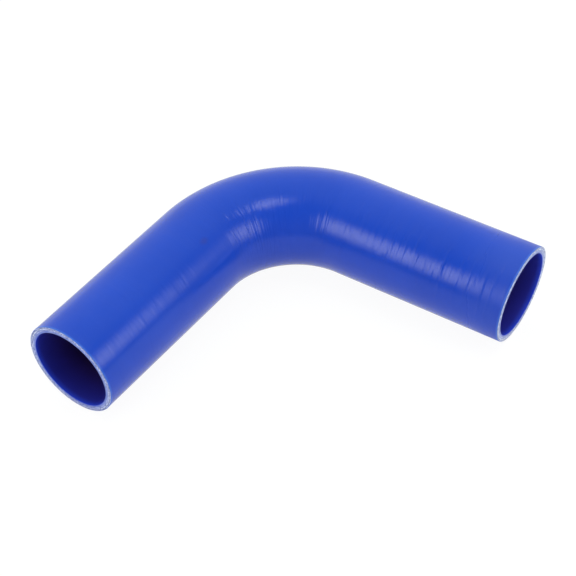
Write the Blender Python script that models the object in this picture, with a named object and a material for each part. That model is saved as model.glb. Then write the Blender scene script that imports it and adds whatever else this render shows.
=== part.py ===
"""Silicone elbow hose: one moulded piece, a bent tube cut off at both ends.

The hose lies on its side on the ground plane, as it comes to rest, with its bend in the
horizontal plane. The left leg runs along -Y from the corner where the two legs' axes cross.
The right leg runs along +X, turned a little further open. The origin is under the middle of
the whole hose, on the ground. Sizes are in metres and angles in degrees.
"""

import math

import bmesh
import bpy
from mathutils import Matrix, Vector

# The section of the hose.
BORE_DIAMETER = 0.051
WALL = 0.0041

# The run of the hose. Each leg is measured along its axis, from the corner to its cut end.
LEFT_LEG = 0.178
RIGHT_LEG = 0.175
BEND_RADIUS = 0.069
LEG_ANGLE = 94.0

# The right end was cut a little out of square: its top reaches further out than its bottom.
RIGHT_CUT_LEAN = 3.0

# The knife leaves the four cut edges very slightly rounded.
CUT_EDGE_ROUND = 0.0003
CUT_EDGE_STEPS = 2
CUT_EDGE_ANGLE = 60.0

# How finely the round surfaces are stepped.
SIDES = 64
BEND_STEPS = 20

# The finish of the rubber.
SILICONE_BLUE = (0.022, 0.072, 0.50, 1.0)
SILICONE_ROUGHNESS = 0.38

BORE_RADIUS = BORE_DIAMETER / 2
OUTER_RADIUS = BORE_RADIUS + WALL
UP = Vector((0, 0, 1))

# Each leg's bend tangent lies this far from the corner.
TANGENT = BEND_RADIUS / math.tan(math.radians(LEG_ANGLE) / 2)
LEFT_DIRECTION = Vector((0, -1, 0))
RIGHT_DIRECTION = Matrix.Rotation(math.radians(LEG_ANGLE), 3, "Z") @ LEFT_DIRECTION
BEND_CENTRE = LEFT_DIRECTION * TANGENT + Vector((BEND_RADIUS, 0, 0))
BEND_TURN = math.radians(180.0 - LEG_ANGLE)


def clear_scene():
    for obj in list(bpy.data.objects):
        bpy.data.objects.remove(obj, do_unlink=True)


def silicone_material():
    material = bpy.data.materials.new("blue_silicone")
    material.use_nodes = True
    shader = material.node_tree.nodes["Principled BSDF"]
    shader.inputs["Base Color"].default_value = SILICONE_BLUE
    shader.inputs["Roughness"].default_value = SILICONE_ROUGHNESS
    shader.inputs["Metallic"].default_value = 0.0
    return material


def left_cut(bm):
    """The flat ring of faces at the left leg's cut end, between the bore and the outer skin."""
    outer = bmesh.ops.create_circle(bm, segments=SIDES, radius=OUTER_RADIUS)["verts"]
    bore = bmesh.ops.create_circle(bm, segments=SIDES, radius=BORE_RADIUS)["verts"]
    faces = []
    for side in range(SIDES):
        after = (side + 1) % SIDES
        corners = (outer[side], outer[after], bore[after], bore[side])
        faces.append(bm.faces.new(corners))
    # The ring is made flat on the ground, so it is stood up to face along the leg.
    stand_up = Matrix.Rotation(math.radians(90.0), 3, "X")
    bmesh.ops.rotate(bm, verts=outer + bore, cent=(0, 0, 0), matrix=stand_up)
    bmesh.ops.translate(bm, verts=outer + bore, vec=LEFT_DIRECTION * LEFT_LEG)
    return faces


def of_kind(geometry, kind):
    return [item for item in geometry if isinstance(item, kind)]


def run_straight(bm, section, move):
    """Carries the section along a straight leg, and returns it at the far end."""
    made = bmesh.ops.extrude_face_region(bm, geom=section)["geom"]
    verts = of_kind(made, bmesh.types.BMVert)
    bmesh.ops.translate(bm, verts=verts, vec=move)
    return of_kind(made, bmesh.types.BMFace)


def run_bend(bm, section):
    """Carries the section round the bend, and returns it at the far end."""
    made = bmesh.ops.spin(
        bm,
        geom=section,
        cent=BEND_CENTRE,
        axis=UP,
        angle=-BEND_TURN,
        steps=BEND_STEPS,
        use_duplicate=False,
    )
    return of_kind(made["geom_last"], bmesh.types.BMFace)


def lean_the_cut(section):
    """Shears the right end along its leg, so that its top reaches further out."""
    slope = math.tan(math.radians(RIGHT_CUT_LEAN))
    for vert in {vert for face in section for vert in face.verts}:
        vert.co += RIGHT_DIRECTION * (slope * vert.co.z)


def hose_mesh():
    """The section of the hose, run along the left leg, round the bend and along the right leg."""
    bm = bmesh.new()
    at_left_end = left_cut(bm)
    at_bend = run_straight(bm, at_left_end, -LEFT_DIRECTION * (LEFT_LEG - TANGENT))
    past_bend = run_bend(bm, at_bend)
    at_right_end = run_straight(bm, past_bend, RIGHT_DIRECTION * (RIGHT_LEG - TANGENT))
    # Where the leg meets the bend, the carried section lies inside the wall, so it comes out.
    bmesh.ops.delete(bm, geom=at_bend + past_bend, context="FACES_ONLY")
    lean_the_cut(at_right_end)
    bmesh.ops.recalc_face_normals(bm, faces=bm.faces)
    mesh = bpy.data.meshes.new("elbow_hose")
    bm.to_mesh(mesh)
    bm.free()
    return mesh


def stand_on_origin(hose):
    """Places the hose with its box centred over the origin and its underside on the ground."""
    points = [vert.co for vert in hose.data.vertices]
    low = Vector([min(point[axis] for point in points) for axis in range(3)])
    high = Vector([max(point[axis] for point in points) for axis in range(3)])
    hose.location = Vector((-(low.x + high.x) / 2, -(low.y + high.y) / 2, -low.z))


def round_cut_edges(hose):
    """A fine rounding of the four edges that the cuts leave, and of no others."""
    bevel = hose.modifiers.new("cut_edges", "BEVEL")
    bevel.limit_method = "ANGLE"
    bevel.angle_limit = math.radians(CUT_EDGE_ANGLE)
    bevel.width = CUT_EDGE_ROUND
    bevel.segments = CUT_EDGE_STEPS


def elbow_hose():
    mesh = hose_mesh()
    mesh.materials.append(silicone_material())
    mesh.shade_smooth()
    mesh.set_sharp_from_angle(angle=math.radians(CUT_EDGE_ANGLE))
    hose = bpy.data.objects.new("elbow_hose", mesh)
    bpy.context.scene.collection.objects.link(hose)
    stand_on_origin(hose)
    round_cut_edges(hose)
    return hose


clear_scene()
elbow_hose()
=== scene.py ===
import math

import bmesh
import bpy
from mathutils import Matrix, Vector


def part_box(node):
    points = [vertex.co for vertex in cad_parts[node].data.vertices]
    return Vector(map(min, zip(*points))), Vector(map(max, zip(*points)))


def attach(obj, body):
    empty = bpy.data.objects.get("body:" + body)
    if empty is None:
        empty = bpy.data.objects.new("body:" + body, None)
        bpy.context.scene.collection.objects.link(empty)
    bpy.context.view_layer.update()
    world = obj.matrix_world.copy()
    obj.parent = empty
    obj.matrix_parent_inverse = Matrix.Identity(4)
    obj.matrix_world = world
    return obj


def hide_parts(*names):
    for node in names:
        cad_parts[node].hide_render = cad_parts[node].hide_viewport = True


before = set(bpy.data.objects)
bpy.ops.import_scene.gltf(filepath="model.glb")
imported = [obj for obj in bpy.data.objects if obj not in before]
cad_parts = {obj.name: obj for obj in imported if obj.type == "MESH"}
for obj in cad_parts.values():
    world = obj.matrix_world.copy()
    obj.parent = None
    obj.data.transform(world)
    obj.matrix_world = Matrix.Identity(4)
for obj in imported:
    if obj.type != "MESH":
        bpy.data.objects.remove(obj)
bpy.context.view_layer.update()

# The blue silicone elbow hose, dressed: one moulded wall with wrap marks round its outer skin,
# a smooth bore, and cut ends that show the plies of cloth inside the rubber.
# It lies on its side, with the left leg along -Y and the right leg along +X, a little further open.
# Sizes are in metres. Angles are written in degrees, apart from those of the pressed waves.

# The hose, from the solid's own box and its stated bend.
LOW, HIGH = (Vector(corner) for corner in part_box("elbow_hose"))
OUTER_RADIUS = (HIGH.z - LOW.z) / 2
WALL = 0.0041
BORE_RADIUS = OUTER_RADIUS - WALL
LEFT_LEG = 0.178
RIGHT_LEG = 0.175
BEND_RADIUS = 0.069
LEG_ANGLE = 94.0
RIGHT_CUT_LEAN = 3.0
CUT_EDGE_ROUND = 0.0003
CUT_EDGE_STEPS = 3

# The run of the hose: the two legs' axes cross at the corner.
LEFT_END = Vector((LOW.x + OUTER_RADIUS, LOW.y, LOW.z + OUTER_RADIUS))
LEFT_WAY = Vector((0, -1, 0))
RIGHT_WAY = Matrix.Rotation(math.radians(LEG_ANGLE), 3, "Z") @ LEFT_WAY
UP = Vector((0, 0, 1))
CORNER = LEFT_END - LEFT_WAY * LEFT_LEG
TANGENT = BEND_RADIUS / math.tan(math.radians(LEG_ANGLE) / 2)
BEND_CENTRE = CORNER + LEFT_WAY * TANGENT + Vector((BEND_RADIUS, 0, 0))
BEND_TURN = math.radians(180.0 - LEG_ANGLE)
RIGHT_END = CORNER + RIGHT_WAY * RIGHT_LEG
LEAN = math.radians(RIGHT_CUT_LEAN)
RIGHT_CUT_WAY = (RIGHT_WAY * math.cos(LEAN) - UP * math.sin(LEAN)).normalized()
LEFT_STRAIGHT = LEFT_LEG - TANGENT
RIGHT_STRAIGHT = RIGHT_LEG - TANGENT
BEND_LENGTH = BEND_RADIUS * BEND_TURN
RUN_LENGTH = LEFT_STRAIGHT + BEND_LENGTH + RIGHT_STRAIGHT

# The two cut faces, each with its middle and the way it looks. The right one looks along its leg
# and a little downwards, because it leans.
CUTS = ((LEFT_END, LEFT_WAY), (RIGHT_END, RIGHT_CUT_WAY))

# How finely the walls are stepped, round the hose and along it, and the angle up to which the
# finished surface is smooth.
SIDES = 128
SKIN_STEP = 0.00062
BORE_STEP = 0.004
SMOOTH_ANGLE = 35.0

# How points, edges and faces are told apart by their place: an edge that still runs the whole
# length of a leg, edges along a leg, the knife's edges, and what lies on a cut face or the skin.
LONG_EDGE = 0.05
PARALLEL = 0.9999
KNIFE_EDGE_ANGLE = 60.0
CUT_REACH = 0.0022
CUT_SLACK = 1.01
FACING = 0.8
SKIN_SLACK = 0.00002
MERGE_DISTANCE = 0.00001

# The cut face: plies of cloth between layers of rubber, counted from the skin inwards. The cloth
# fills this stretch of each ply's pitch, and leaves a rim of rubber at the skin and at the bore.
PLIES = 4
PLY_PITCH = WALL / PLIES
STRIPS_A_PLY = 3
PLY_SHRINK = 0.00006
CLOTH_START = 0.25
CLOTH_END = 0.80
RUBBER_RIM = 0.0004

# The cloth tape that the hose was cured in left shallow marks round it. How strong they are is
# graded along the run from the left end, in lists of places and levels. The creases lay where an
# edge of the tape was: each has its place along the run, half its width and its depth, as a share
# of CREASE_DEPTH.
MARK_STRENGTH = (
    (0.0, 0.75), (0.05, 0.55), (0.09, 0.36), (0.12, 0.36), (0.20, 0.60), (0.255, 1.3), (0.326, 1.3),
)
RIDGE_STRENGTH = (
    (0.0, 0.17), (0.108, 0.13), (0.118, 0.50), (0.126, 0.95), (0.144, 1.1), (0.150, 0.55),
    (0.172, 0.55), (0.178, 0.30), (0.196, 0.36), (0.212, 1.2), (0.250, 1.1), (0.290, 0.60), (0.326, 0.50),
)
WAVE_STRENGTH = ((0.0, 0.70), (0.03, 0.55), (0.06, 0.50), (0.12, 0.45), (0.15, 0.35), (0.326, 0.45))
LEFT_CREASES = (
    (0.0385, 0.0006, 0.20), (0.0765, 0.0006, 0.20), (0.1212, 0.0005, 0.80), (0.1243, 0.0005, 1.2),
    (0.1278, 0.0005, 1.0), (0.1310, 0.0006, 1.9), (0.1337, 0.0006, 1.5), (0.1372, 0.0006, 1.7),
    (0.1405, 0.0005, 1.2),
)
RIGHT_CREASES = (
    (0.1472, 0.0008, 1.0), (0.2075, 0.0007, 1.0), (0.2527, 0.0007, 1.0), (0.2693, 0.0014, 1.7),
    (0.2883, 0.0012, 1.5), (0.2980, 0.0011, 1.1), (0.3052, 0.0009, 1.0), (0.3138, 0.0011, 1.1),
    (0.3190, 0.0012, 1.0), (0.3232, 0.0010, 1.0),
)

# The broad marks are pressed into the skin's own shape, this deep at most. Each wave has its height,
# its length, and how far it swings round the hose, in how many turns and from which angle, both in
# radians. All drift round the hose with a slow twist, in radians to a metre. The marks fade out
# before each cut, and the right cut leans back along the leg by its own reach.
WRAP_DEPTH = 0.00005
PRESSED_WAVES = (
    (0.30, 0.0231, 0.0, 1, 0.0), (0.24, 0.0097, 1.3, 1, math.pi / 2), (0.20, 0.0054, 2.1, 1, 1.0),
    (0.16, 0.0031, 1.7, 2, 0.0),
)
PRESSED_DRIFT = 0.0009
PRESSED_TWIST = 41.0
PRESSED_MEAN = 0.35
PRESSED_SWING = 0.35
PRESSED_CREASE = 0.06
PRESSED_LEVELS = 60
UNMARKED_END = 0.0006
MARKS_FADE = 0.002
LEAN_REACH = 0.0016

# The fine marks are in the skin's finish. Each grain is the size of a mark round the hose and along
# it, and each depth is how deep the mark looks. They are deepest on one side, this far round from
# the inner side towards the top, and grow shallower between two cosines of the angle away from it.
DEEP_ANGLE = math.radians(38.0)
DEEP_SIDE = Vector((math.cos(DEEP_ANGLE), math.sin(DEEP_ANGLE), 0)) / OUTER_RADIUS
DEEP_SPAN = (0.72, 0.93)
SHALLOW_SHARE = 0.35
RIDGE_GRAIN = (0.014, 0.0015)
RIDGE_DEPTH = 0.00020
THREAD_GRAIN = (0.010, 0.0008)
THREAD_SHARE = 0.13
WAVE_PITCH = 0.0036
WAVE_DRIFT = 0.9
WAVE_DRIFT_GRAIN = (0.030, 0.011)
WAVE_DEPTH = 0.000010
LAP_GRAIN = (0.030, 0.0044)
LAP_SPAN = (0.54, 0.66)
LAP_DEPTH = 0.00006
CREASE_WANDER = 0.0010
CREASE_WANDER_GRAIN = (0.012, 0.006)
CREASE_FAINT_GRAIN = (0.022, 0.003)
CREASE_FAINT_SPAN = (0.38, 0.60)
CREASE_FAINTEST = 0.40
CREASE_SIDE_POWER = 4.0
CREASE_DEPTH = 0.00015

# The skin's rubber: two blues that mottle it, paler in a thin band along each cut, duller in patches
# and towards the right end, and with a very fine grain. A scale is a number of grains to a metre.
SKIN_BLUES = ((0.0092, 0.053, 0.480, 1), (0.0112, 0.059, 0.510, 1))
MOTTLE_SCALE = 26.0
PALE_BAND_BLUE = (0.07, 0.22, 0.74, 1)
PALE_BAND_SPAN = (0.0003, 0.0013)
PALE_BAND_SHARE = 0.45
PATCH_GRAIN = (0.045, 0.0055)
SKIN_ROUGHNESS = (0.18, 0.23)
DULLED_SPAN = (0.300, 0.320)
DULLED_ROUGHNESS = 0.18
SKIN_GRAIN_SCALE = 4200.0
SKIN_GRAIN_DEPTH = 0.000003
RUBBER_IOR = 1.43

# The cloth on the cut faces. Flecks have their number to a metre, how much finer detail they have,
# and the two levels of noise between which they fade in. The cut turns blue towards the bore and at
# the skin, and a dark line runs round its outermost ply.
PLY_WANDER = 0.00012
PLY_WANDER_SCALE = 180.0
CLOTH_SPAN = (0.10, 0.30)
YARN_FLECKS = (900.0, 1.0, (0.43, 0.55))
FRAYED_FLECKS = (780.0, 0.0, (0.52, 0.58))
LINE_FLECKS = (880.0, 0.0, (0.46, 0.52))
FIBRE_SCALE = 5200.0
CUT_RUBBER = (0.09, 0.15, 0.60, 1)
YARN_PALES = ((0.42, 0.47, 0.78, 1), (0.66, 0.68, 0.92, 1))
YARN_SHADE = (0.10, 0.12, 0.30, 1)
FRAYED_YARN = (0.80, 0.85, 1.0, 1)
DARK_LINE = (0.05, 0.07, 0.24, 1)
DARK_LINE_DEPTH = 0.0008
DARK_LINE_SPAN = (0.0001, 0.0004)
DARK_LINE_SHARE = 0.95
BORE_RIM = (0.055, 0.115, 0.60, 1)
BORE_RIM_SPAN = (WALL - 0.0026, WALL - 0.0002)
SKIN_RIM = (0.05, 0.12, 0.55, 1)
SKIN_RIM_SPAN = (0.0002, 0.0006)
CUT_ROUGHNESS = 0.55
CLOTH_SHEEN = 0.9
CLOTH_SHEEN_ROUGHNESS = 0.35
YARN_DEPTH = 0.00006
FIBRE_DEPTH = 0.00003

# The bore: painted light at its mouth, a blue brighter than the rubber's own, and past it painted shade,
# darker and darker down to two near blacks that cloud it.
# It is drawn along its length by the mandrel.
PAINTED_LIGHT_MOUTH_BLUE = (0.022, 0.060, 0.70, 1)
PAINTED_SHADE_PAST_MOUTH = (0.021, 0.025, 0.35, 1)
PAINTED_SHADE_BORE_DARKS = ((0.020, 0.006, 0.046, 1), (0.026, 0.009, 0.062, 1))
MOUTH_DEPTH = 0.0035
PAINTED_SHADE_DEPTH = 0.026
CLOUD_SCALE = 60.0
DRAWN_GRAIN = (0.0022, 0.03)
DRAWN_DEPTH = 0.00002
DRAWN_ROUGHNESS = 0.05
BORE_ROUGHNESS = 0.42
BORE_IOR = 1.32

# The levels between which a noise mostly runs, from the widest to the narrowest.
WIDE_SPAN = (0.25, 0.75)
MIDDLE_SPAN = (0.3, 0.7)
NARROW_SPAN = (0.35, 0.65)

# A faint smudge on the left leg. Its place is one on the straightened hose, with the length shrunk
# by the smudge's own stretch along the leg. It fades out over the span from its middle.
SMUDGE_RUN = 0.1023
SMUDGE_ANGLE = math.radians(59.0)
SMUDGE_STRETCH = 1.5
SMUDGE_PLACE = Vector((
    OUTER_RADIUS * math.cos(SMUDGE_ANGLE),
    OUTER_RADIUS * math.sin(SMUDGE_ANGLE),
    SMUDGE_RUN / SMUDGE_STRETCH,
))
SMUDGE_SPAN = (0.0006, 0.0026)
SMUDGE_SHARE = 0.45
SMUDGE_BLUE = (0.035, 0.045, 0.30, 1)

# The camera, at the photograph's angle.
CAMERA_AROUND = 38.804
CAMERA_DOWN = 45.905
CAMERA_ROLL = -3.045
CAMERA_AIM = Vector((-0.01203, 0.0089, 0.0296))
CAMERA_DISTANCE = 0.9250
CAMERA_LENS = 100.375
CAMERA_SENSOR = 36.0

# The studio: a dark room on the camera's side, a bright sweep behind the hose, a softbox on
# either side of the camera and one overhead, and two wide panels that fill in matt surfaces
# only. Brightness 1 is white. A core is the evenly bright share of a softbox's width and height.
SIDE_BOX_AWAY = 1.3
SIDE_BOX_WIDTH = 1.34
SIDE_BOX_HEIGHT = 1.12
SIDE_BOX_CORE = (0.14, 0.12)
SIDE_BOX_AROUND = 61.5
SIDE_BOX_UP = 27.5
SIDE_BOX_BRIGHTNESS = 4.0
TOP_BOX_AWAY = 1.6
TOP_BOX_WIDTH = 0.66
TOP_BOX_CORE = (0.5, 0.5)
TOP_BOX_BRIGHTNESS = 3.9
TOP_BOX_WAY = Vector((0.237, -0.009, 0.96))
FILL_AWAY = 1.5
TOP_FILL_LEAN = 0.7
TOP_FILL_WIDTH = 2.6
TOP_FILL_BRIGHTNESS = 0.95
TOP_FILL_COLOUR = (0.95, 1.32, 1.0)
FRONT_FILL_WIDTH = 1.8
FRONT_FILL_UP = 16.0
FRONT_FILL_BRIGHTNESS = 0.50
FRONT_FILL_COLOUR = (1.02, 0.91, 1.0)
ROOM_FILL = 0.20
SWEEP_BRIGHTNESS = (
    (-1.0, 0.03), (-0.3, 0.04), (0.0, 0.16), (0.3, 0.30), (0.55, 0.40), (0.85, 0.60), (1.0, 0.80),
)

# The floor: pale behind and under the hose, fading into the dark room in front of it. Each place
# is a distance along the fade, which runs from the left leg's open end to the bend. The camera
# sees it white, with this share of the hose's shadow, and about this much light falls on it.
FLOOR_SIZE = 12.0
FLOOR_FADE_WAY = Vector((-0.30, 0.954, 0.0))
FLOOR_BRIGHTNESS = ((-1.0, 0.08), (-0.5, 0.22), (-0.25, 0.55), (0.0, 0.78), (0.2, 0.90), (1.0, 0.95))
FLOOR_WHITE = 0.90
FLOOR_LIGHT = 0.75
SHADOW_SHARE = 0.08
WHITE = (1, 1, 1, 1)


def clear_selection():
    if bpy.context.object and bpy.context.object.mode != "OBJECT":
        bpy.ops.object.mode_set(mode="OBJECT")
    bpy.ops.object.select_all(action="DESELECT")


def choose(hose, part, wanted):
    """Selects, in edit mode, the verts or edges that the rule wants, and nothing else."""
    bpy.ops.mesh.select_mode(type={"verts": "VERT", "edges": "EDGE"}[part])
    bpy.ops.mesh.select_all(action="DESELECT")
    sheet = bmesh.from_edit_mesh(hose.data)
    for item in getattr(sheet, part):
        if wanted(item):
            item.select_set(True)
    sheet.select_flush_mode()
    bmesh.update_edit_mesh(hose.data)


def along_run(point):
    """Where a point lies: its distance along the hose from the left end, its spoke out of the axis
    and the sideways direction there, which points to the inner side of the elbow."""
    from_corner = Vector((point.x - CORNER.x, point.y - CORNER.y, 0))
    from_bend = Vector((point.x - BEND_CENTRE.x, point.y - BEND_CENTRE.y, 0))
    if from_corner.dot(LEFT_WAY) >= TANGENT and from_bend.y <= 0:
        run = LEFT_LEG - from_corner.dot(LEFT_WAY)
        on_axis = CORNER + LEFT_WAY * from_corner.dot(LEFT_WAY)
        ahead = -LEFT_WAY
    elif from_corner.dot(RIGHT_WAY) >= TANGENT:
        run = LEFT_STRAIGHT + BEND_LENGTH + from_corner.dot(RIGHT_WAY) - TANGENT
        on_axis = CORNER + RIGHT_WAY * from_corner.dot(RIGHT_WAY)
        ahead = RIGHT_WAY
    else:
        turned = math.atan2(from_bend.y, -from_bend.x)
        run = LEFT_STRAIGHT + BEND_RADIUS * turned
        on_axis = BEND_CENTRE + from_bend.normalized() * BEND_RADIUS
        ahead = Vector((from_bend.y, -from_bend.x, 0)).normalized()
    return run, point - on_axis, ahead.cross(UP)


def wall_shell(name, radius, step):
    """One skin of the wall: a circle run along the left leg, round the bend and along the right leg."""
    clear_selection()
    bpy.ops.mesh.primitive_circle_add(
        vertices=SIDES, radius=radius, fill_type="NOTHING",
        location=LEFT_END, rotation=(math.radians(90), 0, 0),
    )
    shell = bpy.context.object
    shell.name = name
    bpy.ops.object.transform_apply(location=True, rotation=True, scale=True)
    bpy.ops.object.mode_set(mode="EDIT")
    bpy.ops.mesh.select_all(action="SELECT")
    bpy.ops.mesh.extrude_region_move(TRANSFORM_OT_translate={"value": -LEFT_WAY * LEFT_STRAIGHT})
    bpy.ops.mesh.spin(
        steps=round(BEND_LENGTH / step), angle=BEND_TURN, center=BEND_CENTRE, axis=UP, dupli=False
    )
    bpy.ops.mesh.extrude_region_move(TRANSFORM_OT_translate={"value": RIGHT_WAY * RIGHT_STRAIGHT})
    lean_the_cut()
    for way, length in ((LEFT_WAY, LEFT_STRAIGHT), (RIGHT_WAY, RIGHT_STRAIGHT)):
        choose(shell, "edges", lambda edge: edge.calc_length() > LONG_EDGE and runs_along(edge, way))
        bpy.ops.mesh.subdivide(number_cuts=round(length / step / 2) - 1)
        choose(shell, "edges", lambda edge: runs_along(edge, way) and on_straight(edge, way))
        bpy.ops.mesh.subdivide(number_cuts=1)
    bpy.ops.object.mode_set(mode="OBJECT")
    return shell


def runs_along(edge, way):
    start, end = (vert.co for vert in edge.verts)
    return abs((end - start).normalized().dot(way)) > PARALLEL


def on_straight(edge, way):
    middle = (edge.verts[0].co + edge.verts[1].co) / 2
    return (middle - CORNER).dot(way) > TANGENT


def lean_the_cut():
    """Tilts the chosen end ring of the right leg, and widens it to stay on the leg's own cylinder."""
    across = RIGHT_WAY.cross(UP)
    leg_axes = (RIGHT_WAY, -across, UP)
    about_end = {
        "orient_type": "GLOBAL",
        "orient_matrix": Matrix(leg_axes).transposed(),
        "orient_matrix_type": "GLOBAL",
        "center_override": RIGHT_END,
    }
    bpy.ops.transform.rotate(value=-LEAN, orient_axis="Y", **about_end)
    widen = 1 / math.cos(LEAN)
    bpy.ops.transform.resize(value=(widen, 1, widen), **about_end)


def at_end(point, end, way):
    """Whether a point lies on the cut face at this end of the hose."""
    from_end = point - end
    return abs(from_end.dot(way)) < CUT_REACH and from_end.length < OUTER_RADIUS * CUT_SLACK


def close_cut(hose, end, way):
    """Runs the outer edge inwards in strips, to the bore's edge: the cut face with its plies."""
    def outermost(point):
        return at_end(point, end, way) and (point - end).length > OUTER_RADIUS - WALL / 2

    def outer_edge(edge):
        return len(edge.link_faces) == 1 and all(outermost(vert.co) for vert in edge.verts)

    choose(hose, "edges", outer_edge)
    strips = PLIES * STRIPS_A_PLY
    radius = OUTER_RADIUS
    for strip in range(strips):
        inner = radius - WALL / strips
        bpy.ops.mesh.extrude_region_move()
        bpy.ops.transform.resize(value=(inner / radius,) * 3, center_override=end)
        radius = inner
    bpy.ops.mesh.select_all(action="SELECT")
    bpy.ops.mesh.remove_doubles(threshold=MERGE_DISTANCE)


def sink_plies(hose, end, way):
    """The cloth shrinks back a little behind the rubber that the knife left."""
    def in_cloth(vert):
        if not at_end(vert.co, end, way):
            return False
        spoke = vert.co - end
        depth = OUTER_RADIUS - (spoke - way * spoke.dot(way)).length
        share = depth / PLY_PITCH % 1.0
        return CLOTH_START < share < CLOTH_END and RUBBER_RIM < depth < WALL - RUBBER_RIM

    choose(hose, "verts", in_cloth)
    bpy.ops.transform.translate(value=-way * PLY_SHRINK)


def round_cut_edges(hose):
    """The four edges that the knife left, rounded very slightly."""
    def cut_edge(edge):
        return len(edge.link_faces) == 2 and edge.calc_face_angle() > math.radians(KNIFE_EDGE_ANGLE)

    choose(hose, "edges", cut_edge)
    bpy.ops.mesh.bevel(offset=CUT_EDGE_ROUND, segments=CUT_EDGE_STEPS, affect="EDGES")


def level_at(place, levels):
    """The level at a place, from a list of places and levels."""
    for (start, low), (end, high) in zip(levels, levels[1:]):
        if place <= end:
            return low + (high - low) * (place - start) / (end - start)
    return levels[-1][1]


def wrap_mark(run, angle):
    """How deep the pressed marks are at a place, from 0 to 1: waves along the hose that drift
    slowly round it, and the creases of the tape's edges."""
    along = run + PRESSED_DRIFT * math.sin(angle + PRESSED_TWIST * run)
    waves = sum(
        height * math.sin(along * 2 * math.pi / length + swing * math.sin(turns * angle + start))
        for height, length, swing, turns, start in PRESSED_WAVES
    )
    waves *= level_at(run, MARK_STRENGTH)
    creases = LEFT_CREASES + RIGHT_CREASES
    crease = sum(depth * math.exp(-((along - edge) / half) ** 2) for edge, half, depth in creases)
    return min(1.0, max(0.0, PRESSED_MEAN + PRESSED_SWING * waves + PRESSED_CREASE * crease))


def press_wrap_marks(hose):
    """Sinks the wrap marks into the outer skin."""
    marks = hose.vertex_groups.new(name="wrap_marks")
    by_level = {}
    for vert in hose.data.vertices:
        run, spoke, inward = along_run(vert.co)
        near_end = min(run, RUN_LENGTH - run - LEAN_REACH)
        if spoke.length < OUTER_RADIUS - SKIN_SLACK or near_end < UNMARKED_END:
            continue
        angle = math.atan2(spoke.z, spoke.dot(inward))
        fade = min(1.0, (near_end - UNMARKED_END) / MARKS_FADE)
        level = round(PRESSED_LEVELS * fade * wrap_mark(run, angle))
        by_level.setdefault(level, []).append(vert.index)
    for level, members in by_level.items():
        marks.add(members, level / PRESSED_LEVELS, "REPLACE")
    press = hose.modifiers.new("wrap_marks", "DISPLACE")
    press.strength = -WRAP_DEPTH
    press.mid_level = 0.0
    press.vertex_group = marks.name
    clear_selection()
    hose.select_set(True)
    bpy.context.view_layer.objects.active = hose
    bpy.ops.object.modifier_apply(modifier=press.name)
    hose.vertex_groups.clear()


def straighten(hose):
    """Stores each point's place on the hose as if it were pulled straight along Z, for the patterns
    that follow the wall round the bend."""
    places = []
    for vert in hose.data.vertices:
        run, spoke, inward = along_run(vert.co)
        places.extend((spoke.dot(inward), spoke.z, run))
    straightened = hose.data.attributes.new("straightened", "FLOAT_VECTOR", "POINT")
    straightened.data.foreach_set("vector", places)


def give_finishes(hose):
    """The outer skin, the cut faces and the bore each get their own finish."""
    for finish in (skin_finish(), cut_finish(), bore_finish()):
        hose.data.materials.append(finish)
    on_skin, on_cut, in_bore = range(3)
    for face in hose.data.polygons:
        spoke = along_run(face.center)[1]
        if any(at_end(face.center, end, way) and face.normal.dot(way) > FACING for end, way in CUTS):
            face.material_index = on_cut
        elif spoke.length < OUTER_RADIUS - WALL / 2:
            face.material_index = in_bore
        else:
            face.material_index = on_skin


def silicone_elbow():
    """The whole hose: a skin and a bore, joined by the cut faces, then marked and finished."""
    skin = wall_shell("silicone_elbow", OUTER_RADIUS, SKIN_STEP)
    bore = wall_shell("bore_wall", BORE_RADIUS, BORE_STEP)
    clear_selection()
    bore.select_set(True)
    skin.select_set(True)
    bpy.context.view_layer.objects.active = skin
    bpy.ops.object.join()
    hose = bpy.context.object
    bpy.ops.object.mode_set(mode="EDIT")
    for end, way in CUTS:
        close_cut(hose, end, way)
    bpy.ops.mesh.normals_make_consistent(inside=False)
    round_cut_edges(hose)
    for end, way in CUTS:
        sink_plies(hose, end, way)
    bpy.ops.object.mode_set(mode="OBJECT")
    press_wrap_marks(hose)
    straighten(hose)
    give_finishes(hose)
    bpy.ops.object.shade_smooth_by_angle(angle=math.radians(SMOOTH_ANGLE))
    return hose


def add_node(tree, kind, settings=None, values=None):
    """A node of the kind, with its settings, and with its sockets set to values or linked to outputs."""
    node = tree.nodes.new("ShaderNode" + kind)
    for name, value in (settings or {}).items():
        setattr(node, name, value)
    for name, value in (values or {}).items():
        if isinstance(value, bpy.types.NodeSocket):
            tree.links.new(value, node.inputs[name])
        else:
            node.inputs[name].default_value = value
    return node


def new_material(name):
    """An empty material, with its shader and its output."""
    material = bpy.data.materials.new(name)
    material.use_nodes = True
    tree = material.node_tree
    tree.nodes.clear()
    shader = add_node(tree, "BsdfPrincipled")
    add_node(tree, "OutputMaterial", values={"Surface": shader.outputs["BSDF"]})
    return material, tree, shader


def stretched(tree, place, around, along):
    """The place on the straightened hose, scaled for a pattern with its own grain each way."""
    scale = (1 / around, 1 / around, 1 / along)
    mapping = add_node(tree, "Mapping", {"vector_type": "POINT"}, {"Vector": place, "Scale": scale})
    return mapping.outputs["Vector"]


def noise(tree, place, scale=1.0, detail=2.0):
    values = {"Vector": place, "Scale": scale, "Detail": detail}
    return add_node(tree, "TexNoise", {"noise_dimensions": "3D"}, values).outputs["Fac"]


def remap(tree, value, span, to=(0.0, 1.0), smooth=False):
    """Carries a value from one span to another, held at both ends."""
    settings = {"clamp": True, "interpolation_type": "SMOOTHSTEP" if smooth else "LINEAR"}
    values = {"Value": value, "From Min": span[0], "From Max": span[1], "To Min": to[0], "To Max": to[1]}
    return add_node(tree, "MapRange", settings, values).outputs["Result"]


def flecks(tree, place, scale, detail, span):
    """Flecks of a noise, which fade in between two of its levels."""
    return remap(tree, noise(tree, place, scale, detail), span)


def compute(tree, operation, first, second=0.0):
    return add_node(tree, "Math", {"operation": operation}, {0: first, 1: second}).outputs["Value"]


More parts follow.
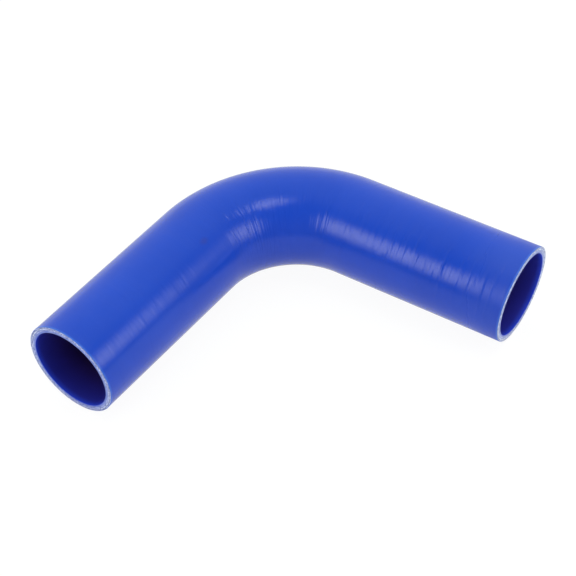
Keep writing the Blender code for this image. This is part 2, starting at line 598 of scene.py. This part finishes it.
def blend_colours(tree, share, first, second):
    """The first colour, with a share of the second. The mix node has its two colours at inputs 6
    and 7, after those for numbers and vectors, and the mixed colour at output 2."""
    return add_node(tree, "Mix", {"data_type": "RGBA"}, {0: share, 6: first, 7: second}).outputs[2]


def bump(tree, height, distance, below=None):
    """A relief of this depth, over another one below it."""
    values = {"Height": height, "Distance": distance, "Strength": 1.0}
    if below is not None:
        values["Normal"] = below
    return add_node(tree, "Bump", values=values).outputs["Normal"]


def grey(level):
    return (level, level, level, 1)


def reach(tree, place, way):
    """How far a place reaches along one direction."""
    return add_node(tree, "VectorMath", {"operation": "DOT_PRODUCT"}, {0: place, 1: way}).outputs["Value"]


def graded(tree, place, way, levels):
    """A level graded along one direction, from a list of places and levels."""
    first, last = levels[0][0], levels[-1][0]
    along = remap(tree, reach(tree, place, way), (first, last))
    ramp = add_node(tree, "ValToRGB", values={"Fac": along})
    stops = ramp.color_ramp.elements
    # A new ramp has two stops already.
    for index, (distance, level) in enumerate(levels):
        position = (distance - first) / (last - first)
        stop = stops[index] if index < 2 else stops.new(position)
        stop.position = position
        stop.color = grey(level)
    return ramp.outputs["Color"]


def straightened_place(tree):
    """The place on the straightened hose, its length along the run and its distance from the axis."""
    place = add_node(tree, "Attribute", {"attribute_name": "straightened"}).outputs["Vector"]
    parts = add_node(tree, "SeparateXYZ", values={"Vector": place})
    across = add_node(tree, "CombineXYZ", values={"X": parts.outputs["X"], "Y": parts.outputs["Y"]})
    radius = add_node(tree, "VectorMath", {"operation": "LENGTH"}, {"Vector": across.outputs["Vector"]})
    return place, parts.outputs["Z"], radius.outputs["Value"]


def from_cut(tree, place, run):
    """The distance along the hose from the nearer cut. The right one leans."""
    height = add_node(tree, "SeparateXYZ", values={"Vector": place}).outputs["Y"]
    lean = compute(tree, "MULTIPLY", height, math.tan(LEAN))
    from_right = compute(tree, "SUBTRACT", compute(tree, "ADD", lean, RUN_LENGTH), run)
    return compute(tree, "MINIMUM", run, from_right)


def tape_creases(tree, run, creases):
    """Each crease's depth along the middle of the mark that a tape's edge left, and 0 elsewhere."""
    ramp = add_node(tree, "ValToRGB", values={"Fac": compute(tree, "DIVIDE", run, RUN_LENGTH)})
    stops = ramp.color_ramp.elements
    stops[0].color = stops[1].color = grey(0)
    for edge, half, depth in creases:
        for offset, level in ((-half, 0.0), (0.0, depth), (half, 0.0)):
            stops.new((edge + offset) / RUN_LENGTH).color = grey(level)
    return ramp.outputs["Color"]


def wrap_relief(tree, place, run):
    """The fine marks of the tape in the skin: ridges, threads, even waves, flatter laps and creases."""
    deep = remap(tree, reach(tree, place, DEEP_SIDE), DEEP_SPAN, (SHALLOW_SHARE, 1.0))

    ridges = noise(tree, stretched(tree, place, *RIDGE_GRAIN), detail=0.5)
    ridges = remap(tree, ridges, (0.0, 1.0), (-0.5, 0.5))
    threads = noise(tree, stretched(tree, place, *THREAD_GRAIN), detail=0.0)
    threads = remap(tree, threads, (0.0, 1.0), (-THREAD_SHARE, THREAD_SHARE))
    ridges = compute(tree, "ADD", ridges, threads)
    ridges = compute(tree, "MULTIPLY", ridges, graded(tree, place, UP, RIDGE_STRENGTH))
    normal = bump(tree, compute(tree, "MULTIPLY", ridges, deep), RIDGE_DEPTH)

    drift = noise(tree, stretched(tree, place, *WAVE_DRIFT_GRAIN))
    drift = remap(tree, drift, WIDE_SPAN, (-WAVE_DRIFT, WAVE_DRIFT))
    turns = compute(tree, "ADD", compute(tree, "DIVIDE", run, WAVE_PITCH), drift)
    waves = compute(tree, "SINE", compute(tree, "MULTIPLY", turns, 2 * math.pi))
    waves = compute(tree, "MULTIPLY", waves, graded(tree, place, UP, WAVE_STRENGTH))
    normal = bump(tree, compute(tree, "MULTIPLY", waves, deep), WAVE_DEPTH, normal)

    laps = noise(tree, stretched(tree, place, *LAP_GRAIN), detail=0.5)
    laps = remap(tree, laps, LAP_SPAN, smooth=True)
    laps = compute(tree, "MULTIPLY", laps, graded(tree, place, UP, MARK_STRENGTH))
    normal = bump(tree, compute(tree, "MULTIPLY", laps, deep), LAP_DEPTH, normal)

    wander = noise(tree, stretched(tree, place, *CREASE_WANDER_GRAIN))
    wander = remap(tree, wander, WIDE_SPAN, (-CREASE_WANDER, CREASE_WANDER))
    wandered = compute(tree, "ADD", run, wander)
    left = tape_creases(tree, wandered, LEFT_CREASES)
    right = tape_creases(tree, wandered, RIGHT_CREASES)
    faint = noise(tree, stretched(tree, place, *CREASE_FAINT_GRAIN))
    faint = remap(tree, faint, CREASE_FAINT_SPAN, (CREASE_FAINTEST, 1.0))
    creases = compute(tree, "MULTIPLY", compute(tree, "ADD", left, right), faint)
    creases = compute(tree, "MULTIPLY", creases, compute(tree, "POWER", deep, CREASE_SIDE_POWER))
    return bump(tree, creases, CREASE_DEPTH, normal)


def skin_finish():
    """Satin blue silicone. The cloth tape it was cured in left marks round it, which show only
    where they break up a highlight. The skin is duller towards the right end, and paler in a thin
    band along each cut."""
    material, tree, shader = new_material("wrapped_blue_silicone")
    place, run, _ = straightened_place(tree)
    everywhere = add_node(tree, "TexCoord").outputs["Object"]

    mottle = noise(tree, everywhere, MOTTLE_SCALE, detail=3.0)
    blue = blend_colours(tree, remap(tree, mottle, MIDDLE_SPAN), *SKIN_BLUES)
    # Paler in a band about a millimetre wide along each cut.
    near_cut = remap(tree, from_cut(tree, place, run), PALE_BAND_SPAN, (PALE_BAND_SHARE, 0.0))
    pale_banded = blend_colours(tree, near_cut, blue, PALE_BAND_BLUE)
    shrunk = stretched(tree, place, 1.0, SMUDGE_STRETCH)
    from_smudge = add_node(tree, "VectorMath", {"operation": "DISTANCE"}, {0: shrunk, 1: SMUDGE_PLACE})
    at_smudge = remap(tree, from_smudge.outputs["Value"], SMUDGE_SPAN, (SMUDGE_SHARE, 0.0))
    tree.links.new(blend_colours(tree, at_smudge, pale_banded, SMUDGE_BLUE), shader.inputs["Base Color"])

    patches = noise(tree, stretched(tree, place, *PATCH_GRAIN), detail=3.0)
    patches = remap(tree, patches, MIDDLE_SPAN, SKIN_ROUGHNESS)
    dulled = remap(tree, run, DULLED_SPAN, (0.0, DULLED_ROUGHNESS))
    tree.links.new(compute(tree, "ADD", patches, dulled), shader.inputs["Roughness"])
    shader.inputs["IOR"].default_value = RUBBER_IOR

    grain = noise(tree, everywhere, SKIN_GRAIN_SCALE, detail=1.0)
    normal = bump(tree, grain, SKIN_GRAIN_DEPTH, wrap_relief(tree, place, run))
    tree.links.new(normal, shader.inputs["Normal"])
    return material


def cut_finish():
    """The cut: pale ends of cloth yarn in rings, with thin blue rubber between and a blue rim. A
    thin dark line, broken into flecks, runs round the outermost ply."""
    material, tree, shader = new_material("cut_plies")
    place, _, radius = straightened_place(tree)
    depth = compute(tree, "SUBTRACT", OUTER_RADIUS, radius)
    wander = noise(tree, place, PLY_WANDER_SCALE)
    wander = remap(tree, wander, MIDDLE_SPAN, (-PLY_WANDER, PLY_WANDER))
    wandered = compute(tree, "ADD", depth, wander)
    in_ply = compute(tree, "PINGPONG", compute(tree, "DIVIDE", wandered, PLY_PITCH), 0.5)
    yarn_ends = flecks(tree, place, *YARN_FLECKS)
    fibres = noise(tree, place, FIBRE_SCALE, detail=1.0)

    pale = blend_colours(tree, remap(tree, fibres, NARROW_SPAN), *YARN_PALES)
    cloth = blend_colours(tree, yarn_ends, YARN_SHADE, pale)
    cloth = blend_colours(tree, flecks(tree, place, *FRAYED_FLECKS), cloth, FRAYED_YARN)
    plies = blend_colours(tree, remap(tree, in_ply, CLOTH_SPAN), CUT_RUBBER, cloth)
    from_line = compute(tree, "ABSOLUTE", compute(tree, "SUBTRACT", wandered, DARK_LINE_DEPTH))
    on_line = remap(tree, from_line, DARK_LINE_SPAN, (DARK_LINE_SHARE, 0.0))
    on_line = compute(tree, "MULTIPLY", on_line, flecks(tree, place, *LINE_FLECKS))
    plies = blend_colours(tree, on_line, plies, DARK_LINE)
    rimmed = blend_colours(tree, remap(tree, depth, BORE_RIM_SPAN), plies, BORE_RIM)
    rimmed = blend_colours(tree, remap(tree, depth, SKIN_RIM_SPAN, (1.0, 0.0)), rimmed, SKIN_RIM)
    tree.links.new(rimmed, shader.inputs["Base Color"])
    shader.inputs["Roughness"].default_value = CUT_ROUGHNESS
    shader.inputs["IOR"].default_value = RUBBER_IOR
    shader.inputs["Sheen Weight"].default_value = CLOTH_SHEEN
    shader.inputs["Sheen Roughness"].default_value = CLOTH_SHEEN_ROUGHNESS

    normal = bump(tree, yarn_ends, YARN_DEPTH)
    tree.links.new(bump(tree, fibres, FIBRE_DEPTH, normal), shader.inputs["Normal"])
    return material


def bore_finish():
    """The bore, smooth from the mandrel it was moulded on. Its colour holds painted light at the mouth
    and painted shade deeper in, so it is darker than the skin away from the cuts."""
    material, tree, shader = new_material("smooth_blue_silicone")
    place, run, _ = straightened_place(tree)
    # Painted light and shade: a bright blue at the mouth, then darker and darker with the depth from the
    # cut.
    cloudy = noise(tree, place, CLOUD_SCALE, detail=3.0)
    painted_shade_darks = blend_colours(tree, remap(tree, cloudy, MIDDLE_SPAN), *PAINTED_SHADE_BORE_DARKS)
    depth = from_cut(tree, place, run)
    past_mouth = remap(tree, depth, (0.0, MOUTH_DEPTH))
    painted_light_mouth = blend_colours(tree, past_mouth, PAINTED_LIGHT_MOUTH_BLUE, PAINTED_SHADE_PAST_MOUTH)
    painted_shade_share = remap(tree, depth, (MOUTH_DEPTH, PAINTED_SHADE_DEPTH))
    tree.links.new(blend_colours(tree, painted_shade_share, painted_light_mouth, painted_shade_darks), shader.inputs["Base Color"])
    drawn = noise(tree, stretched(tree, place, *DRAWN_GRAIN))
    unevenness = remap(tree, drawn, NARROW_SPAN, (-DRAWN_ROUGHNESS, DRAWN_ROUGHNESS))
    rough = compute(tree, "ADD", unevenness, BORE_ROUGHNESS)
    tree.links.new(rough, shader.inputs["Roughness"])
    shader.inputs["IOR"].default_value = BORE_IOR
    tree.links.new(bump(tree, drawn, DRAWN_DEPTH), shader.inputs["Normal"])
    return material


def camera_ways():
    """The camera's own right, up and forward."""
    around, down, roll = (math.radians(turn) for turn in (CAMERA_AROUND, CAMERA_DOWN, CAMERA_ROLL))
    forward = Vector(
        (-math.sin(around) * math.cos(down), math.cos(around) * math.cos(down), -math.sin(down))
    )
    level_right = Vector((math.cos(around), math.sin(around), 0))
    level_up = level_right.cross(forward)
    right = level_right * math.cos(roll) + level_up * math.sin(roll)
    return right, right.cross(forward), forward


def place_camera():
    right, up, forward = camera_ways()
    turn = Matrix((right, up, -forward)).transposed()
    clear_selection()
    bpy.ops.object.camera_add(location=CAMERA_AIM - forward * CAMERA_DISTANCE, rotation=turn.to_euler())
    camera = bpy.context.object
    camera.name = "camera"
    camera.data.lens = CAMERA_LENS
    camera.data.sensor_width = CAMERA_SENSOR
    bpy.context.scene.camera = camera


def softbox(name, way, away, width, height, brightness, core=None):
    """A rectangular lamp that looks at the hose from this way, as bright as its diffuser's middle.
    With a core, it fades from there to its edges."""
    clear_selection()
    way = way.normalized()
    turn = way.to_track_quat("Z", "Y")
    bpy.ops.object.light_add(type="AREA", location=CAMERA_AIM + way * away, rotation=turn.to_euler())
    lamp = bpy.context.object
    lamp.name = name
    lamp.data.shape = "RECTANGLE"
    lamp.data.size = width
    lamp.data.size_y = height
    lamp.data.energy = brightness * math.pi * width * height
    lamp.visible_camera = False
    if core:
        fade_to_edges(lamp, core)
    return lamp


def fade_to_edges(lamp, core):
    """Fades a softbox from its core to its edges, in both directions."""
    lamp.data.use_nodes = True
    tree = lamp.data.node_tree
    tree.nodes.clear()
    on_lamp = add_node(tree, "NewGeometry").outputs["Parametric"]
    across = add_node(tree, "SeparateXYZ", values={"Vector": on_lamp})
    level = 1.0
    for side, share in zip("XY", core):
        from_middle = compute(tree, "ABSOLUTE", compute(tree, "SUBTRACT", across.outputs[side], 0.5))
        fade = remap(tree, from_middle, (share / 2, 0.5), (1.0, 0.0), smooth=True)
        level = compute(tree, "MULTIPLY", fade, level)
    glow = add_node(tree, "Emission", values={"Strength": level})
    add_node(tree, "OutputLight", values={"Surface": glow.outputs["Emission"]})


def around_camera(degrees_right, degrees_up):
    """A direction out of the hose, so far to the camera's right and so far above the horizon."""
    around = math.radians(CAMERA_AROUND + degrees_right)
    rise = math.radians(degrees_up)
    return Vector((math.sin(around) * math.cos(rise), -math.cos(around) * math.cos(rise), math.sin(rise)))


def place_lamps():
    """A softbox on either side of the camera, one overhead, and the two fills for matt surfaces."""
    for name, side in (("right_softbox", 1), ("left_softbox", -1)):
        way = around_camera(side * SIDE_BOX_AROUND, SIDE_BOX_UP)
        softbox(
            name, way, SIDE_BOX_AWAY, SIDE_BOX_WIDTH, SIDE_BOX_HEIGHT, SIDE_BOX_BRIGHTNESS, SIDE_BOX_CORE
        )
    softbox(
        "top_softbox", TOP_BOX_WAY, TOP_BOX_AWAY, TOP_BOX_WIDTH, TOP_BOX_WIDTH, TOP_BOX_BRIGHTNESS,
        TOP_BOX_CORE,
    )
    overhead = towards_back() * TOP_FILL_LEAN + UP
    top_fill = softbox(
        "top_fill", overhead, FILL_AWAY, TOP_FILL_WIDTH, TOP_FILL_WIDTH, TOP_FILL_BRIGHTNESS
    )
    top_fill.data.color = TOP_FILL_COLOUR
    front_fill = softbox(
        "front_fill", around_camera(0, FRONT_FILL_UP), FILL_AWAY, FRONT_FILL_WIDTH,
        FRONT_FILL_WIDTH / 2, FRONT_FILL_BRIGHTNESS,
    )
    front_fill.data.color = FRONT_FILL_COLOUR
    for panel in (top_fill, front_fill):
        panel.visible_glossy = False


def towards_back():
    """The level direction from the camera to the back of the studio."""
    forward = camera_ways()[2]
    return Vector((forward.x, forward.y, 0)).normalized()


def mixed_by(tree, share, first, second):
    """One shader where the share is 0, and the other where it is 1."""
    return add_node(tree, "MixShader", values={"Fac": share, 1: first, 2: second}).outputs["Shader"]


def light_studio():
    """The walls of the studio: white to the camera, and to the hose a bright sweep at the back that
    darkens towards the camera's side."""
    world = bpy.data.worlds.new("studio")
    bpy.context.scene.world = world
    world.use_nodes = True
    tree = world.node_tree
    tree.nodes.clear()
    rays = add_node(tree, "LightPath")
    way = add_node(tree, "TexCoord").outputs["Generated"]
    sweep = graded(tree, way, towards_back(), SWEEP_BRIGHTNESS)
    walls = add_node(tree, "Background", values={"Color": sweep, "Strength": 1.0})
    on_matt = compute(tree, "MULTIPLY", rays.outputs["Is Diffuse Ray"], ROOM_FILL)
    fill = add_node(tree, "Background", values={"Color": WHITE, "Strength": on_matt})
    room = add_node(
        tree, "AddShader", values={0: walls.outputs["Background"], 1: fill.outputs["Background"]}
    ).outputs["Shader"]
    backdrop = add_node(tree, "Background", values={"Color": WHITE, "Strength": 1.0})
    out = mixed_by(tree, rays.outputs["Is Camera Ray"], room, backdrop.outputs["Background"])
    add_node(tree, "OutputWorld", values={"Surface": out})


def lay_floor():
    """A pale floor that keeps the hose's soft shadow, white to the camera as far as it reaches."""
    clear_selection()
    bpy.ops.mesh.primitive_plane_add(size=FLOOR_SIZE, location=(0, 0, 0))
    floor = bpy.context.object
    floor.name = "floor"
    material = bpy.data.materials.new("white_table")
    material.use_nodes = True
    tree = material.node_tree
    tree.nodes.clear()
    rays = add_node(tree, "LightPath")
    place = add_node(tree, "TexCoord").outputs["Object"]
    fading = graded(tree, place, FLOOR_FADE_WAY, FLOOR_BRIGHTNESS)
    mirrored = add_node(tree, "Emission", values={"Color": fading}).outputs["Emission"]
    matt = add_node(tree, "BsdfDiffuse", values={"Color": grey(FLOOR_WHITE)}).outputs["BSDF"]
    lit = mixed_by(tree, rays.outputs["Is Glossy Ray"], matt, mirrored)
    shaded = add_node(tree, "BsdfDiffuse", values={"Color": grey(SHADOW_SHARE)})
    unshaded = 1.0 - SHADOW_SHARE * FLOOR_LIGHT
    glow = add_node(tree, "Emission", values={"Color": WHITE, "Strength": unshaded})
    white = add_node(
        tree, "AddShader", values={0: shaded.outputs["BSDF"], 1: glow.outputs["Emission"]}
    ).outputs["Shader"]
    out = mixed_by(tree, rays.outputs["Is Camera Ray"], lit, white)
    add_node(tree, "OutputMaterial", values={"Surface": out})
    floor.data.materials.append(material)


bpy.context.scene.view_settings.view_transform = "Standard"
place_camera()
hose = silicone_elbow()
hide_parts("elbow_hose")
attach(hose, "root")
lay_floor()
place_lamps()
light_studio()
